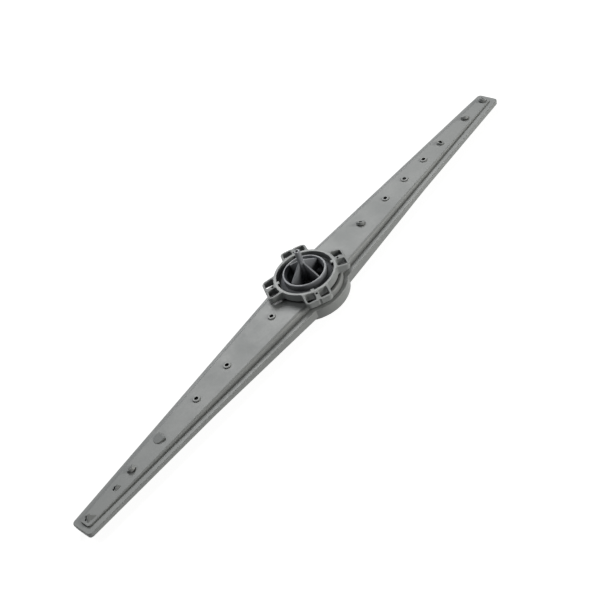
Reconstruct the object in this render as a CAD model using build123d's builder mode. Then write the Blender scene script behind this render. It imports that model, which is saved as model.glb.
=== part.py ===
from build123d import *
import os
from math import cos, radians, sin, tan

# Upper spray arm of a dishwasher: two welded shells, a ribbed bearing hub and a lock ring that turns on it.
# Millimetres, +Z up, X along the arm. The origin is on the hub axis, at the flat underside.

# Plan of the two blades
arm_length = 460.0
root_width = 45.0  # across the flange, on the hub axis
tip_width = 18.0  # across the flange, at the tips
tip_corner = 3.0
side_ledge = 4.8  # flange that shows beside the raised plate
end_ledge = 4.1  # flange that shows beyond the plate's ends
plate_corner = 2.0

# Heights above the underside: level round the hub, then falling along the blades
plate_height = 13.9
hat_root = 4.55  # plate above the flange, round the hub
hat_tip = 1.08  # plate above the flange, at the tips
flange_fall = 1.73
edge_root = 2.2  # lower edge of the trough's upright sides, on the hub axis
edge_waist = 5.05
edge_tip = 4.3
keel_root = 0.9  # lowest line of the trough
keel_waist = 3.7
keel_tip = 3.3
waist = 120.0  # where the trough stops getting shallower, from the hub axis

# Walls and edges of the shells
wall = 1.5
flange_thickness = 1.4  # upper shell's flange, down to the welded seam
shoulder_root = 2.4  # rounding along the raised plate
shoulder_tip = 0.4
cavity_round = 0.2
channel_tip_side = 0.3  # side height of the trough's channel at the tip
flange_break = 0.4
seam_step = 0.25  # lower shell inside the upper shell's edge

# Round middle of the shells
belly_ledge = 3.3  # belly beyond the seat
belly_round = 1.5
seat_ledge = 2.2  # seat beyond the lock ring
seat_break = 0.7
seat_thickness = 2.0
seat_margin = 2.0  # level plate beyond the seat before the blades start to fall

# Bearing hub
collar_rise = 9.4  # collar rim above the plate
collar_break = 0.4
rim_width = 1.3  # top of the collar, outside its bevelled mouth
mouth_depth = 2.7
collar_wall = 2.7  # below the mouth
journal_step = 0.8  # journal that the ring turns on, beyond the collar
lip_width = 2.2  # lip that holds the ring down, beyond the journal
lip_edge = 0.9
lip_crown = 1.4
spigot_depth = 5.0  # below the plate's top
snap_height = 1.2
snap_reach = 0.7
rib_thickness = 1.2
rib_rise = 17.2  # where the ribs meet the post, above the plate
rib_depth = 9.0  # below the collar's rim
post_radius = 2.2
post_root_radius = 2.5
post_root_rise = 1.5  # thicker root of the post above the ribs
post_rise = 27.9
post_break = 0.4
post_bore = 2.0
post_bore_depth = 9.0

# Lock ring
ring_radius = 22.7
ring_wall = 1.8
pipe_groove = 2.0  # between the hub's lip and the ring's wall
ring_rise = 7.7  # ring rim above the plate
ring_skirt_gap = 1.6  # under the ring's wall
floor_thickness = 1.5
floor_slope = 1.0  # rise of the floor towards the wall
foot_inset = 1.2  # bottom of the floor, inside the ring's inner wall
lug_count = 4
lug_angle = -30.6  # first lug, from the arm's axis
lug_length = 8.2  # beyond the ring's wall
lug_half_width = 9.7
lug_corner = 3.4
lug_wall = 1.4
lug_web = 3.0
lug_flare = 2.0
lug_fall = 1.7  # how far a lug's top slopes down from the ring's rim to its outer wall
lug_notch = 1.3  # radius of the notch in the outer wall between the pockets
pocket_corner = 1.2
pocket_wall = 0.5  # ring wall that is thicker behind the pockets
web_hole = 1.7
web_hole_place = 2.3  # middle of the hole, beyond the ring's wall
tab_reach = 1.6
tab_width = 2.6
tab_thickness = 1.6
tab_shift = -4.0  # degrees from the lug's middle
core_span = 20.0  # degrees of floor left open under each tab
core_width = 1.4

# Clearances
running_gap = 0.3
seat_gap = 0.1

# Jets: every body starts a little below the plate's surface
jet_line = 0.9  # the row of jets, beside the arm's axis
jet_sink = 0.6
jet_rim_radius = 2.8
jet_rim_height = 0.8
jet_rim_round = 0.35
jet_bore = 2.8

half_length = arm_length / 2
flange_height = plate_height - hat_root
plate_fall = hat_root + flange_fall - hat_tip
collar_top = plate_height + collar_rise
ring_top = plate_height + ring_rise

# The hub and the seat take their radii from the lock ring
ring_bore = ring_radius - ring_wall
lip_radius = ring_bore - pipe_groove
journal_radius = lip_radius - lip_width
collar_radius = journal_radius - journal_step
mouth_radius = collar_radius - rim_width
bore_radius = collar_radius - collar_wall
seat_radius = ring_radius + seat_ledge
belly_radius = seat_radius + belly_ledge
lug_reach = ring_radius + lug_length
web_hole_reach = ring_radius + web_hole_place
level_half = seat_radius + seat_margin


def near(distance):
    """The place on the arm's axis this far in from the near tip."""
    return distance - half_length


def far(distance):
    """The place on the arm's axis this far in from the far tip."""
    return half_length - distance


# Upright jets: places on the arm's axis
upright_jets = (-39.2, -87.0, -118.4, far(136.6), far(112.4), far(87.6))

# Tilted bosses: place, aim in degrees from +X, tilt from upright, rim radius, mouth length and width
tilted_jets = (
    (near(49.0), 100.0, 35.0, 2.9, 4.4, 1.1),
    (63.0, 22.0, 28.0, 3.2, 2.6, 2.6),
    (far(65.4), -25.0, 20.0, 3.0, 3.4, 2.6),
    (far(32.0), 40.0, 28.0, 3.2, 2.6, 2.6),
    (far(7.6), -22.0, 35.0, 3.0, 4.8, 1.7),
)

# Scoop that throws towards the hub: place of its mouth, aim, half width, height, mouth length and width
scoop_jet = (near(78.4), -12.0, 3.5, 1.6, 4.6, 1.0)
scoop_lift = 35.0  # degrees that its stream rises

# Fins with a fan slot: place, foot of the ridge, inner and outer corners round that place, crest, height
fin_jets = (
    (near(9.0), (-3.5, -2.0), (4.6, -4.0), (-1.0, 4.4), (0.7, 0.8), 2.6),
    (near(34.0), (-3.3, -1.1), (2.9, -1.7), (-0.7, 3.3), (1.0, 0.0), 1.8),
)
fin_slot_length = 4.4
fin_slot_width = 1.2


def run(x):
    """Share of the way from the level middle to the tip."""
    return max(0.0, abs(x) - level_half) / (half_length - level_half)


def plate_z(x):
    return plate_height - plate_fall * run(x)


def flange_z(x):
    return flange_height - flange_fall * run(x)


def seam_z(x):
    return flange_z(x) - flange_thickness


def half_width(x):
    return (root_width + (tip_width - root_width) * abs(x) / half_length) / 2


def trough_line(root, middle, tip, x):
    """A height of the trough that changes evenly from the hub to the waist, then to the tip."""
    if abs(x) < waist:
        return root + (middle - root) * abs(x) / waist
    return middle + (tip - middle) * (abs(x) - waist) / (half_length - waist)


def blade_plan(side_inset, end_inset, corner):
    """Plan of both blades, inset from the flange's edge, with rounded tip corners."""
    end = half_length - end_inset
    root = half_width(0) - side_inset
    tip = half_width(end) - side_inset
    with BuildSketch() as plan:
        with BuildLine():
            Polyline((0, root), (end, tip), (end, -tip), (0, -root), (-end, -tip), (-end, tip), close=True)
        make_face()
        tips = plan.vertices().group_by(Axis.X)
        fillet(tips[0] + tips[-1], corner)
    return plan.sketch


def band_section(x, inset, low, high, shoulder=0.0):
    """Section across the arm between two heights, with rounded shoulders where they are asked for."""
    width = half_width(x) - inset
    with BuildSketch(Plane.YZ.offset(x)) as section:
        with BuildLine():
            Polyline((-width, low), (-width, high), (width, high), (width, low), close=True)
        make_face()
        if shoulder:
            fillet(section.vertices().group_by(Axis.Y)[-1], shoulder)
    return section.sketch


def trough_section(x, width, top, edge, keel):
    """Section of the trough: upright sides, then one shallow arc."""
    with BuildSketch(Plane.YZ.offset(x)) as section:
        with BuildLine():
            Polyline((-width, edge), (-width, top), (width, top), (width, edge))
            ThreePointArc((width, edge), (0, keel), (-width, edge))
        make_face()
    return section.sketch


def blades(section, stations, plan=None):
    """Solid of both blades through a section at each station, trimmed to a plan."""
    with BuildPart() as solid:
        for side in (-1, 1):
            loft([section(side * x) for x in stations], ruled=True)
        if plan:
            with BuildSketch():
                add(plan)
            extrude(amount=2 * plate_height, mode=Mode.INTERSECT)
    return solid.part


def jet_plane(x, height, aim, tilt):
    """Plane across a jet's stream: Z along the stream, X level and square to its aim."""
    side, turn = radians(aim), radians(tilt)
    stream = (sin(turn) * cos(side), sin(turn) * sin(side), cos(turn))
    return Plane(origin=(x, jet_line, plate_z(x) + height), x_dir=(-sin(side), cos(side), 0), z_dir=stream)


def mouth(length, width):
    """Mouth of a jet: a slot, or a round hole where it is no longer than wide."""
    if length > width:
        SlotOverall(length, width)
    else:
        Circle(width / 2)


def tilt_rise(radius, tilt):
    """Height of a tilted boss's face along its stream, with the low side just under the plate."""
    return radius * tan(radians(tilt)) - jet_sink / 4


def fin_point(x, corner, height):
    return Vector(x + corner[0], corner[1], plate_z(x) + height)


flange_plan = blade_plan(0, 0, tip_corner)
plate_plan = blade_plan(side_ledge, end_ledge, plate_corner)
rim_plan = blade_plan(seam_step, seam_step, tip_corner - seam_step)
plate_end = half_length - end_ledge


# Solids that make up the upper shell: flange, raised plate, round seat, and the water channel to cut out
def flange_outside(x):
    return band_section(x, 0, seam_z(x), flange_z(x))


def plate_outside(x):
    shoulder = shoulder_root + (shoulder_tip - shoulder_root) * run(x)
    return band_section(x, side_ledge, flange_z(x) - flange_thickness / 2, plate_z(x), shoulder)


def plate_inside(x):
    return band_section(x, side_ledge + wall, seam_z(x) - wall, plate_z(x) - wall, cavity_round)


flange_band = blades(flange_outside, (0, level_half, half_length), flange_plan)
hat = blades(plate_outside, (0, level_half, plate_end), plate_plan)
upper_channel = blades(plate_inside, (0, level_half, plate_end - wall))

with BuildPart() as seat:
    with BuildSketch(Plane.XY.offset(flange_height - flange_thickness / 2)):
        Circle(seat_radius)
    extrude(amount=plate_height - flange_height + flange_thickness / 2)
    chamfer(seat.edges().group_by(Axis.Z)[-1], seat_break)

# One rounded rim that serves every upright jet
with BuildPart() as jet_rim:
    with BuildSketch(Plane.XY.offset(-jet_sink)):
        Circle(jet_rim_radius)
    extrude(amount=jet_sink + jet_rim_height)
    fillet(jet_rim.edges().group_by(Axis.Z)[-1], jet_rim_round)

# Scoop: a ramp with a round tail that rises to a flat mouth facing +X
scoop_x, scoop_aim, scoop_half, scoop_height, scoop_mouth, scoop_mouth_width = scoop_jet
with BuildPart() as scoop:
    with BuildSketch(Plane.XY.offset(-jet_sink)):
        with Locations((-scoop_half, 0)):
            Circle(scoop_half)
            Rectangle(scoop_half, 2 * scoop_half, align=(Align.MIN, Align.CENTER))
    extrude(amount=jet_sink + scoop_height)
    with BuildSketch(Plane.XZ):
        with BuildLine():
            Polyline((-2 * scoop_half, -jet_sink), (0, -jet_sink), (0, scoop_height), (-2 * scoop_half, 0),
                     close=True)
        make_face()
    extrude(amount=scoop_half, both=True, mode=Mode.INTERSECT)

with BuildPart() as upper_shell:
    # Flange with the disc round the hub, its top edge broken all the way round
    add(flange_band)
    with BuildSketch(Plane.XY.offset(flange_height)):
        Circle(belly_radius)
    extrude(amount=-flange_thickness)
    rim = upper_shell.edges().filter_by(lambda edge: edge.center().Z > flange_z(edge.center().X) - seat_gap)
    chamfer(rim.filter_by(lambda edge: abs(edge.center().Y) > seam_step or abs(edge.center().X) > plate_end),
            flange_break)
    # Raised plate and round seat
    add(hat)
    add(seat.part)
    # Bodies of the jets
    with Locations(*[(x, jet_line, plate_z(x)) for x in upright_jets]):
        add(jet_rim.part)
    with Locations(Location((scoop_x, jet_line, plate_z(scoop_x)), (0, 0, scoop_aim))):
        add(scoop.part)
    for x, aim, tilt, rim_radius, mouth_length, mouth_width in tilted_jets:
        with BuildSketch(jet_plane(x, -jet_sink, aim, tilt)):
            Circle(rim_radius)
        extrude(amount=jet_sink * cos(radians(tilt)) + tilt_rise(rim_radius, tilt))
    for x, foot, inner, outer, crest, height in fin_jets:
        with BuildSketch(Plane.XY.offset(plate_z(x) - jet_sink / 2)) as fin_base:
            with BuildLine():
                Polyline(*[(x + corner[0], corner[1]) for corner in (foot, inner, outer)], close=True)
            make_face()
        loft([fin_base.sketch.face(), Vertex(*fin_point(x, crest, height))])
    # Water channel and the chamber round the inlet
    add(upper_channel, mode=Mode.SUBTRACT)
    with BuildSketch(Plane.XY.offset(plate_height - seat_thickness)):
        Circle(seat_radius - wall)
    extrude(amount=-plate_height, mode=Mode.SUBTRACT)
    # Mouths of the jets, each one open to the channel
    with Locations(*[(x, jet_line, plate_z(x)) for x in upright_jets]):
        Cylinder(jet_bore / 2, 4 * wall, mode=Mode.SUBTRACT)
    for x, aim, tilt, rim_radius, mouth_length, mouth_width in tilted_jets:
        depth = 2 * wall + tilt_rise(rim_radius, tilt)
        with BuildSketch(jet_plane(x, 0, aim, tilt)):
            mouth(mouth_length, mouth_width)
        extrude(amount=depth, both=True, mode=Mode.SUBTRACT)
    with BuildSketch(jet_plane(scoop_x, scoop_height / 2, scoop_aim, 90.0 - scoop_lift)):
        mouth(scoop_mouth, scoop_mouth_width)
    extrude(amount=3 * wall, both=True, mode=Mode.SUBTRACT)
    for x, foot, inner, outer, crest, height in fin_jets:
        ridge = fin_point(x, crest, height) - fin_point(x, foot, 0)
        flank = fin_point(x, outer, 0) - fin_point(x, foot, 0)
        middle = fin_point(x, foot, 0) + ridge / 4 + flank / 2
        with BuildSketch(Plane(middle, x_dir=ridge, z_dir=ridge.cross(flank))):
            SlotOverall(fin_slot_length, fin_slot_width)
        extrude(amount=height + 2 * wall, both=True, mode=Mode.SUBTRACT)
    # Hole for the bearing hub
    with BuildSketch(Plane.XY.offset(plate_height)):
        Circle(collar_radius + seat_gap)
    extrude(amount=-2 * seat_thickness, mode=Mode.SUBTRACT)


# Trough under both blades, and the channel to cut out of it
def trough_outside(x):
    edge = trough_line(edge_root, edge_waist, edge_tip, x)
    return trough_section(x, half_width(x), seam_z(x), edge, trough_line(keel_root, keel_waist, keel_tip, x))


channel_end = half_length - end_ledge - wall


def channel_inside(x):
    share = abs(x) / channel_end
    inset = wall + (side_ledge - wall) * share
    edge = trough_line(edge_root, edge_waist, edge_tip, x) + wall
    edge = edge + (seam_z(x) - channel_tip_side - edge) * share
    keel = trough_line(keel_root, keel_waist, keel_tip, x) + wall
    return trough_section(x, half_width(x) - inset, seam_z(x) + wall, edge, keel)


trough = blades(trough_outside, (0, level_half, waist, half_length), rim_plan)
lower_channel = blades(channel_inside, (0, level_half, waist, channel_end))

with BuildPart() as lower_shell:
    with BuildSketch():
        Circle(belly_radius - seam_step)
    extrude(amount=flange_height - flange_thickness)
    fillet(lower_shell.edges().group_by(Axis.Z)[0], belly_round)
    add(trough)
    add(lower_channel, mode=Mode.SUBTRACT)
    with BuildSketch(Plane.XY.offset(wall)):
        Circle(belly_radius - seam_step - wall)
    extrude(amount=plate_height, mode=Mode.SUBTRACT)

# Bearing hub: collar, journal and lip in one turned profile, then ribs and post
lip_bottom = plate_height + floor_thickness + 2 * running_gap
snap_top = plate_height - seat_thickness - seat_gap
spigot_bottom = plate_height - spigot_depth
rib_top = plate_height + rib_rise
post_top = plate_height + post_rise
with BuildPart() as bearing_hub:
    with BuildSketch(Plane.XZ):
        with BuildLine():
            Polyline(
                (bore_radius, spigot_bottom),
                (collar_radius, spigot_bottom),
                (collar_radius + snap_reach, snap_top - snap_height),
                (collar_radius + snap_reach, snap_top),
                (collar_radius, snap_top),
                (collar_radius, plate_height),
                (journal_radius, plate_height),
                (journal_radius, lip_bottom),
                (lip_radius, lip_bottom),
                (lip_radius, lip_bottom + lip_edge),
                (collar_radius, lip_bottom + lip_edge + lip_crown),
                (collar_radius, collar_top - collar_break),
                (collar_radius - collar_break, collar_top),
                (mouth_radius, collar_top),
                (bore_radius, collar_top - mouth_depth),
                close=True)
        make_face()
    revolve(axis=Axis.Z)
    rib_bottom = collar_top - rib_depth
    for plane in (Plane.XZ, Plane.YZ):
        with BuildSketch(plane):
            with BuildLine():
                Polyline(
                    (-bore_radius - collar_break, rib_bottom),
                    (bore_radius + collar_break, rib_bottom),
                    (bore_radius + collar_break, collar_top - collar_break),
                    (0, rib_top + post_root_radius),
                    (-bore_radius - collar_break, collar_top - collar_break),
                    close=True)
            make_face()
        extrude(amount=rib_thickness / 2, both=True)
    with BuildSketch(Plane.XZ):
        with BuildLine():
            Polyline(
                (0, rib_bottom),
                (post_root_radius, rib_bottom),
                (post_root_radius, rib_top),
                (post_radius, rib_top + post_root_rise),
                (post_radius, post_top - post_break),
                (post_radius - post_break, post_top),
                (post_bore / 2, post_top),
                (post_bore / 2, post_top - post_bore_depth),
                (0, post_top - post_bore_depth),
                close=True)
        make_face()
    revolve(axis=Axis.Z)

# Lock ring: turned profile, cored lugs, bayonet tabs over openings in the floor
floor_bottom = plate_height + running_gap
floor_top = floor_bottom + floor_thickness
skirt_bottom = plate_height + ring_skirt_gap
pocket_reach = lug_reach - lug_wall
pocket_width = lug_half_width - lug_wall - lug_web / 2


def axis_distance(edge):
    """How far an upright edge stands from the hub axis."""
    return Vector(edge.center().X, edge.center().Y).length


with BuildPart() as pockets:
    with BuildSketch(Plane.XY.offset(skirt_bottom)):
        with PolarLocations(0, lug_count, start_angle=lug_angle):
            with GridLocations(0, lug_web + pocket_width, 1, 2):
                Rectangle(pocket_reach, pocket_width, align=(Align.MIN, Align.CENTER))
        Circle(ring_radius + pocket_wall, mode=Mode.SUBTRACT)
    extrude(amount=ring_top - skirt_bottom)
    fillet(pockets.edges().filter_by(Axis.Z), pocket_corner)

with BuildPart() as lock_ring:
    with BuildSketch(Plane.XZ):
        with BuildLine():
            Polyline(
                (journal_radius + running_gap, floor_bottom),
                (ring_bore - foot_inset, floor_bottom),
                (ring_bore, skirt_bottom),
                (ring_radius, skirt_bottom),
                (ring_radius, ring_top),
                (ring_bore, ring_top),
                (ring_bore, floor_top + floor_slope),
                (lip_radius + running_gap, floor_top),
                (journal_radius + running_gap, floor_top),
                close=True)
        make_face()
    revolve(axis=Axis.Z)
    # Lugs with rounded outer corners, flared into the ring, their tops sloping outwards
    with BuildSketch(Plane.XY.offset(skirt_bottom)):
        with PolarLocations(0, lug_count, start_angle=lug_angle):
            Rectangle(lug_reach, 2 * lug_half_width, align=(Align.MIN, Align.CENTER))
        Circle(ring_bore, mode=Mode.SUBTRACT)
    extrude(amount=ring_top - skirt_bottom)
    uprights = lock_ring.edges().filter_by(Axis.Z)
    fillet(uprights.filter_by(lambda edge: axis_distance(edge) > lug_reach), lug_corner)
    roots = lock_ring.edges().filter_by(Axis.Z)
    fillet(roots.filter_by(lambda edge: axis_distance(edge) < ring_radius + seat_gap), lug_flare)
    with BuildSketch(Plane.XZ):
        with BuildLine():
            Polyline((ring_radius, ring_top), (2 * lug_reach - ring_radius, ring_top - 2 * lug_fall),
                     (2 * lug_reach - ring_radius, ring_top), close=True)
        make_face()
    revolve(axis=Axis.Z, mode=Mode.SUBTRACT)
    # Cored pockets on both sides of each lug's web, a hole in the web and a notch outside it
    add(pockets.part, mode=Mode.SUBTRACT)
    with BuildSketch(Plane.XY.offset(skirt_bottom)):
        with PolarLocations(web_hole_reach, lug_count, start_angle=lug_angle):
            Circle(web_hole / 2)
        with PolarLocations(lug_reach + lug_notch / 2, lug_count, start_angle=lug_angle):
            Circle(lug_notch)
    extrude(amount=ring_top - skirt_bottom, mode=Mode.SUBTRACT)
    # Bayonet tabs, and the floor left open under them
    with BuildSketch(Plane.XY.offset(ring_top)):
        with PolarLocations(ring_bore - tab_reach, lug_count, start_angle=lug_angle + tab_shift):
            Rectangle(tab_reach + ring_wall / 2, tab_width, align=(Align.MIN, Align.CENTER))
    extrude(amount=-tab_thickness)
    with BuildSketch(Plane.XY.offset(floor_bottom)):
        for lug in range(lug_count):
            middle = lug_angle + tab_shift + lug * 360 / lug_count
            core_line = CenterArc((0, 0), ring_bore - core_width / 2, middle - core_span / 2, core_span)
            SlotArc(core_line, core_width)
    extrude(amount=floor_thickness + floor_slope, mode=Mode.SUBTRACT)

upper_shell.part.label = "upper_shell"
lower_shell.part.label = "lower_shell"
bearing_hub.part.label = "bearing_hub"
lock_ring.part.label = "lock_ring"

os.makedirs("parts", exist_ok=True)
export_step(upper_shell.part, "parts/upper_shell.step")
export_step(lower_shell.part, "parts/lower_shell.step")
export_step(bearing_hub.part, "parts/bearing_hub.step")
export_step(lock_ring.part, "parts/lock_ring.step")
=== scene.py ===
import math

import bpy
from mathutils import Matrix, Vector

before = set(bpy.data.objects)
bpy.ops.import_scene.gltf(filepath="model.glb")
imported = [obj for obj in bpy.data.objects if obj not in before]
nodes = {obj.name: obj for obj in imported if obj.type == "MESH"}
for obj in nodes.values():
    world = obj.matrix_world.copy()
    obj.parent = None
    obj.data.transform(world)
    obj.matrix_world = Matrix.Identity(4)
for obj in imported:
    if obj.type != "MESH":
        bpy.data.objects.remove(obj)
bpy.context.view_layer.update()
scene = bpy.context.scene

# Noises of the plastic: scale per metre, detail, roughness
cloud_noise = (38.0, 4.0, 0.55)
speck_noise = (520.0, 2.0, 0.6)
wave_noise = (90.0, 2.0, 0.5)
grain_noise = (2400.0, 2.0, 0.6)

# Ramps of the plastic: from, to, and what they give at these two ends where it isn't 0 and 1
dull_clouds = (0.32, 0.68)
dull_specks = (0.35, 0.75, 0.0, 0.35)
# The next two ramps set the painted highlight on edges: how far an edge must turn, and its patches
edge_highlight_turn = (1.0, 0.86)
edge_highlight_patches = (0.3, 0.6, 0.35, 1.0)
# Ramp of the painted shade in corners
corner_shade_openness = (0.85, 0.45)
gloss_band = (0.3, 0.7)
cloud_gloss = (-0.05, 0.07)
speck_gloss = (-0.03, 0.03)

# Strengths and colours that all the plastics share, with lengths in metres
# Radius that rounds edges in the shading and finds them for the painted highlight, then that highlight's
# strength
edge_round_radius = 0.0006
edge_highlight_strength = 0.55
# Painted shade in corners: its reach, strength and tint
corner_shade_reach = 0.0022
corner_shade_strength = 0.70
corner_shade_tint = (0.40, 0.40, 0.39)
# Painted shade in pockets and hollows: its strength and near-black colour
hollow_shade_strength = 0.95
hollow_shade_colour = (0.010, 0.010, 0.012)
# Near-black painted shade in the holes of the jets
mouth_shade_colour = (0.004, 0.004, 0.004)
wave_height = 0.00002
bump_strength = 0.6
plastic_ior = 1.48
shader_samples = 6
sharp_angle = 28.0

# Jets of the upper shell: where their holes are, for the painted shade inside them, in the millimetres of
# the part's source
millimetre = 0.001
half_length = 230.0
level_half = 26.9
plate_height = 13.9
plate_fall = 5.2
jet_line = 0.9
jet_bore = 2.8
upright_jets = (-118.4, -87.0, -39.2, 93.4, 117.6, 142.4)
fin_slot = (4.4, 1.2)
mouth_shade_margin = 0.05

# Floor and room: sizes in metres, greys and brightness
floor_half = 6.0
floor_drop = 0.0002
floor_matt = (0.38, 0.38, 0.38)
floor_pale = (0.30, 0.30, 0.30)
floor_glow = 0.90
room_light = 0.06
backdrop_light = 1.0
white = (1.0, 1.0, 1.0)

# Camera fitted to the photograph's view of the blades, hub and jets: degrees, metres and pixels
view_azimuth = -34.807
view_elevation = 42.259
view_roll = 21.808
view_distance = 0.761241
view_side = 0.009184
view_rise = 0.014015
look_height = 0.0139
photo_pixels = 605.0
focal_pixels = 1083.095
half_pixel = 0.5 / photo_pixels
sensor_width = 36.0
clip_near = 0.01
clip_far = 50.0


class Tree:
    """Short way to add and link shader nodes."""

    def __init__(self, owner):
        owner.use_nodes = True
        self.tree = owner.node_tree
        self.tree.nodes.clear()

    def put(self, value, socket):
        """Links another node's socket, or sets a plain value."""
        if isinstance(value, bpy.types.NodeSocket):
            self.tree.links.new(value, socket)
        else:
            socket.default_value = value

    def add(self, kind, values=None, **settings):
        node = self.tree.nodes.new(kind)
        for name, value in settings.items():
            setattr(node, name, value)
        for name, value in (values or {}).items():
            self.put(value, node.inputs[name])
        return node

    def math(self, operation, a, b):
        return self.add("ShaderNodeMath", {0: a, 1: b}, operation=operation).outputs[0]

    def apart(self, a, b):
        return self.add("ShaderNodeVectorMath", {0: a, 1: b}, operation="SUBTRACT").outputs[0]

    def dot(self, a, b):
        return self.add("ShaderNodeVectorMath", {0: a, 1: b}, operation="DOT_PRODUCT").outputs["Value"]

    def ramp(self, value, low, high, out_low=0.0, out_high=1.0):
        node = self.add("ShaderNodeMapRange", {"Value": value, "From Min": low, "From Max": high,
                                               "To Min": out_low, "To Max": out_high})
        return node.outputs[0]

    def noise(self, place, scale, detail, roughness):
        node = self.add("ShaderNodeTexNoise", {"Vector": place, "Scale": scale, "Detail": detail,
                                               "Roughness": roughness})
        return node.outputs["Fac"]

    def openness(self, reach):
        """1 where nothing stands within this reach, towards 0 where a place is shut in."""
        node = self.add("ShaderNodeAmbientOcclusion", {"Distance": reach}, samples=shader_samples)
        return node.outputs["AO"]

    def mix(self, factor, a, b):
        node = self.add("ShaderNodeMix", data_type="RGBA")
        for name, value in (("Factor", factor), ("A", a), ("B", b)):
            self.put(value, [s for s in node.inputs if s.name == name and s.enabled][0])
        return [s for s in node.outputs if s.enabled][0]


def opaque(red, green, blue):
    return (red, green, blue, 1.0)


def paint_edge_highlight(t, colour, soft, clouds, edge_highlight):
    """Painted highlight: edges are paler, in patches."""
    flat = t.add("ShaderNodeNewGeometry").outputs["Normal"]
    turned = t.ramp(t.dot(soft, flat), *edge_highlight_turn)
    highlighted = t.math("MULTIPLY", turned, t.ramp(clouds, *edge_highlight_patches))
    return t.mix(t.math("MULTIPLY", highlighted, edge_highlight_strength), colour, opaque(*edge_highlight))


def paint_corner_shade(t, colour, base):
    """Painted shade: corners are darkened towards a dull grey."""
    corner_shade = t.math("MULTIPLY", t.ramp(t.openness(corner_shade_reach), *corner_shade_openness), corner_shade_strength)
    return t.mix(corner_shade, colour, opaque(*(share * tint for share, tint in zip(base, corner_shade_tint))))


def paint_hollow_shade(t, colour, reach, open_to, shut_at):
    """Painted shade: pockets and the inside of the hub are darkened to near black."""
    depth = t.ramp(t.openness(reach), open_to, shut_at, 0.0, hollow_shade_strength)
    return t.mix(depth, colour, opaque(*hollow_shade_colour))


def paint_mouth_shade(t, colour, place, middle, along, across, length, width):
    """Painted shade in the hole of one jet, near black: a circle if it is as wide as long, and a rounded
    slot if not.
    """
    apart = t.apart(place, middle * millimetre)
    shares = []
    for way, size in ((along, length), (across, width)):
        share = t.dot(apart, way * 2.0 / ((size + mouth_shade_margin) * millimetre))
        share = t.math("MULTIPLY", share, share)
        shares.append(share if length == width else t.math("MULTIPLY", share, share))
    inside = t.math("LESS_THAN", t.math("ADD", *shares), 1.0)
    return t.mix(inside, colour, opaque(*mouth_shade_colour))


def moulded_plastic(name, base, dull, edge_highlight, roughness, grain, hollow_shade_reach, open_to, shut_at, shaded_mouths=()):
    """Satin moulded plastic: cloudy colour, fine grain, a painted highlight on its edges, and painted shade
    in its corners, its hollows and the holes of jets.
    """
    material = bpy.data.materials.new(name)
    t = Tree(material)
    place = t.add("ShaderNodeTexCoord").outputs["Object"]
    clouds = t.noise(place, *cloud_noise)
    specks = t.noise(place, *speck_noise)
    soft = t.add("ShaderNodeBevel", {"Radius": edge_round_radius}, samples=shader_samples).outputs[0]
    colour = t.mix(t.ramp(clouds, *dull_clouds), opaque(*base), opaque(*dull))
    colour = t.mix(t.ramp(specks, *dull_specks), colour, opaque(*dull))
    # Painted highlight on edges, then painted shade in corners, hollows and the holes of jets
    colour = paint_edge_highlight(t, colour, soft, clouds, edge_highlight)
    colour = paint_corner_shade(t, colour, base)
    colour = paint_hollow_shade(t, colour, hollow_shade_reach, open_to, shut_at)
    for mouth in shaded_mouths:
        colour = paint_mouth_shade(t, colour, place, *mouth)
    cloudy = t.ramp(clouds, *gloss_band, *(roughness + change for change in cloud_gloss))
    rough = t.math("ADD", cloudy, t.ramp(specks, *gloss_band, *speck_gloss))
    fine = t.math("MULTIPLY", t.noise(place, *grain_noise), grain)
    waves = t.math("MULTIPLY", t.noise(place, *wave_noise), wave_height)
    height = t.math("ADD", fine, waves)
    bump = t.add("ShaderNodeBump", {"Strength": bump_strength, "Distance": 1.0, "Height": height,
                                    "Normal": soft})
    shader = t.add("ShaderNodeBsdfPrincipled", {"Base Color": colour, "Roughness": rough, "IOR": plastic_ior,
                                                "Normal": bump.outputs[0]})
    t.add("ShaderNodeOutputMaterial", {"Surface": shader.outputs[0]})
    return material


def plate_point(x, y, height=0.0):
    """A point this far above the raised plate, which falls towards the tips."""
    fall = plate_fall * max(0.0, abs(x) - level_half) / (half_length - level_half)
    return Vector((x, y, plate_height - fall + height))


def tilted_mouth(x, aim, tilt, length, width, height=0.0):
    """Hole of a jet that aims and tilts: its middle, directions along and across it, length and width."""
    side, turn = math.radians(aim), math.radians(tilt)
    stream = Vector((math.sin(turn) * math.cos(side), math.sin(turn) * math.sin(side), math.cos(turn)))
    along = Vector((-math.sin(side), math.cos(side), 0.0))
    return plate_point(x, jet_line, height), along, stream.cross(along), length, width


def fin_mouth(x, foot, outer, crest, height):
    """Slot in the steep flank of a fin, between its foot, its outer corner and its crest."""
    start = plate_point(x, 0.0) + Vector((*foot, 0.0))
    ridge = plate_point(x, 0.0) + Vector((*crest, height)) - start
    flank = plate_point(x, 0.0) + Vector((*outer, 0.0)) - start
    along = ridge.normalized()
    return start + ridge / 4 + flank / 2, along, ridge.cross(flank).normalized().cross(along), *fin_slot


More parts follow.
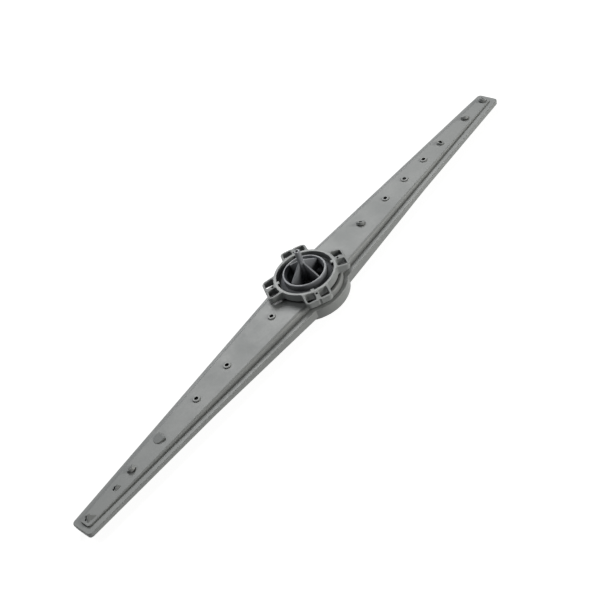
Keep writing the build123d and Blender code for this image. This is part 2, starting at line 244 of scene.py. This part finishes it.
# Pieces: each in its own plastic
# Painted shade: the holes of the jets are painted near black where these place them
jet_mouth_shades = [tilted_mouth(x, 0.0, 0.0, jet_bore, jet_bore) for x in upright_jets]
jet_mouth_shades += [
    tilted_mouth(x=-181.0, aim=100.0, tilt=35.0, length=4.4, width=1.1),
    tilted_mouth(x=63.0, aim=22.0, tilt=28.0, length=2.6, width=2.6),
    tilted_mouth(x=164.6, aim=-25.0, tilt=20.0, length=3.4, width=2.6),
    tilted_mouth(x=198.0, aim=40.0, tilt=28.0, length=2.6, width=2.6),
    tilted_mouth(x=222.4, aim=-22.0, tilt=35.0, length=4.8, width=1.7),
    tilted_mouth(x=-151.6, aim=-12.0, tilt=55.0, length=4.6, width=1.0, height=0.8),
    fin_mouth(x=-221.0, foot=(-3.5, -2.0), outer=(-1.0, 4.4), crest=(0.7, 0.8), height=2.6),
    fin_mouth(x=-196.0, foot=(-3.3, -1.1), outer=(-0.7, 3.3), crest=(1.0, 0.0), height=1.8),
]
# Each plastic gives a paler colour for its painted edge highlight and the reach of the painted shade in its
# hollows
shell = moulded_plastic(
    "shell_plastic", base=(0.305, 0.317, 0.314), dull=(0.277, 0.291, 0.291), edge_highlight=(0.40, 0.41, 0.40),
    roughness=0.46, grain=0.000012, hollow_shade_reach=0.0030, open_to=0.62, shut_at=0.38, shaded_mouths=jet_mouth_shades)
hub = moulded_plastic(
    "hub_plastic", base=(0.290, 0.302, 0.325), dull=(0.262, 0.275, 0.300), edge_highlight=(0.42, 0.43, 0.45),
    roughness=0.40, grain=0.000008, hollow_shade_reach=0.0160, open_to=0.70, shut_at=0.20)
ring = moulded_plastic(
    "ring_plastic", base=(0.300, 0.315, 0.312), dull=(0.270, 0.286, 0.286), edge_highlight=(0.42, 0.43, 0.43),
    roughness=0.42, grain=0.000008, hollow_shade_reach=0.0080, open_to=0.50, shut_at=0.05)
looks = {"upper_shell": shell, "lower_shell": shell, "bearing_hub": hub, "lock_ring": ring}
for name, material in looks.items():
    piece = nodes[name]
    piece.data.materials.clear()
    piece.data.materials.append(material)
    piece.data.shade_smooth()
    piece.data.set_sharp_from_angle(angle=math.radians(sharp_angle))


def floor_material():
    """White to the camera and in reflections where nothing shades it, matt grey to all other light."""
    material = bpy.data.materials.new("floor_white")
    t = Tree(material)
    path = t.add("ShaderNodeLightPath")
    mirrored = t.math("MAXIMUM", path.outputs["Is Glossy Ray"], path.outputs["Is Transmission Ray"])
    seen = t.math("MAXIMUM", path.outputs["Is Camera Ray"], mirrored)
    matt = t.add("ShaderNodeBsdfDiffuse", {"Color": opaque(*floor_matt)})
    pale = t.add("ShaderNodeBsdfDiffuse", {"Color": opaque(*floor_pale)})
    glow = t.add("ShaderNodeEmission", {"Color": opaque(*white), "Strength": floor_glow})
    lit = t.add("ShaderNodeAddShader", {0: pale.outputs[0], 1: glow.outputs[0]})
    mixed = t.add("ShaderNodeMixShader", {0: seen, 1: matt.outputs[0], 2: lit.outputs[0]})
    t.add("ShaderNodeOutputMaterial", {"Surface": mixed.outputs[0]})
    return material


# Floor just under the part
corners = [(x * floor_half, y * floor_half, 0) for x, y in ((-1, -1), (1, -1), (1, 1), (-1, 1))]
mesh = bpy.data.meshes.new("floor")
mesh.from_pydata(corners, [], [(0, 1, 2, 3)])
mesh.materials.append(floor_material())
floor = bpy.data.objects.new("floor", mesh)
floor.location.z = -floor_drop
scene.collection.objects.link(floor)


def room(world):
    """Weak light from all round, with plain white behind the part."""
    t = Tree(world)
    path = t.add("ShaderNodeLightPath")
    seen = t.math("MAXIMUM", path.outputs["Is Camera Ray"], path.outputs["Is Transmission Ray"])
    around = t.add("ShaderNodeBackground", {"Color": opaque(*white), "Strength": room_light})
    behind = t.add("ShaderNodeBackground", {"Color": opaque(*white), "Strength": backdrop_light})
    mixed = t.add("ShaderNodeMixShader", {0: seen, 1: around.outputs[0], 2: behind.outputs[0]})
    t.add("ShaderNodeOutputWorld", {"Surface": mixed.outputs[0]})


def softbox(name, place, target, size, power, colour=white):
    """A square soft light of this size in metres and power in watts, turned to its target."""
    light = bpy.data.lights.new(name, "AREA")
    light.shape = "RECTANGLE"
    light.size, light.size_y = size, size
    light.energy = power
    light.color = colour
    lamp = bpy.data.objects.new(name, light)
    lamp.location = place
    lamp.rotation_euler = (Vector(target) - Vector(place)).to_track_quat("-Z", "Y").to_euler()
    scene.collection.objects.link(lamp)


# Room and three soft lights
scene.world = bpy.data.worlds.new("studio")
room(scene.world)
softbox("key", place=(0.66, 1.02, 1.22), target=(0.0, 0.0, 0.0), size=0.8, power=18.0)
softbox("left", place=(-0.80, 1.00, 1.10), target=(0.0, 0.0, 0.0), size=0.7, power=4.0)
softbox("right", place=(0.95, -1.50, 0.66), target=(0.03, 0.0, 0.01), size=0.6, power=22.0,
        colour=(1.0, 0.98, 0.93))

# Camera: looks from the fitted place, rolled as the photograph is
azimuth, elevation, roll = (math.radians(angle) for angle in (view_azimuth, view_elevation, view_roll))
level = math.cos(elevation)
back = Vector((math.sin(azimuth) * level, -math.cos(azimuth) * level, math.sin(elevation)))
right = Vector((math.cos(azimuth), math.sin(azimuth), 0.0))
up = back.cross(right)
eye = back * view_distance - right * view_side - up * view_rise + Vector((0.0, 0.0, look_height))
across = right * math.cos(roll) - up * math.sin(roll)
upward = right * math.sin(roll) + up * math.cos(roll)
camera = bpy.data.objects.new("camera", bpy.data.cameras.new("camera"))
camera.matrix_world = Matrix.Translation(eye) @ Matrix((across, upward, back)).transposed().to_4x4()
camera.data.sensor_width = sensor_width
camera.data.lens = sensor_width * focal_pixels / photo_pixels
camera.data.shift_x, camera.data.shift_y = -half_pixel, half_pixel
camera.data.clip_start, camera.data.clip_end = clip_near, clip_far
scene.collection.objects.link(camera)
scene.camera = camera
scene.view_settings.view_transform = "Standard"
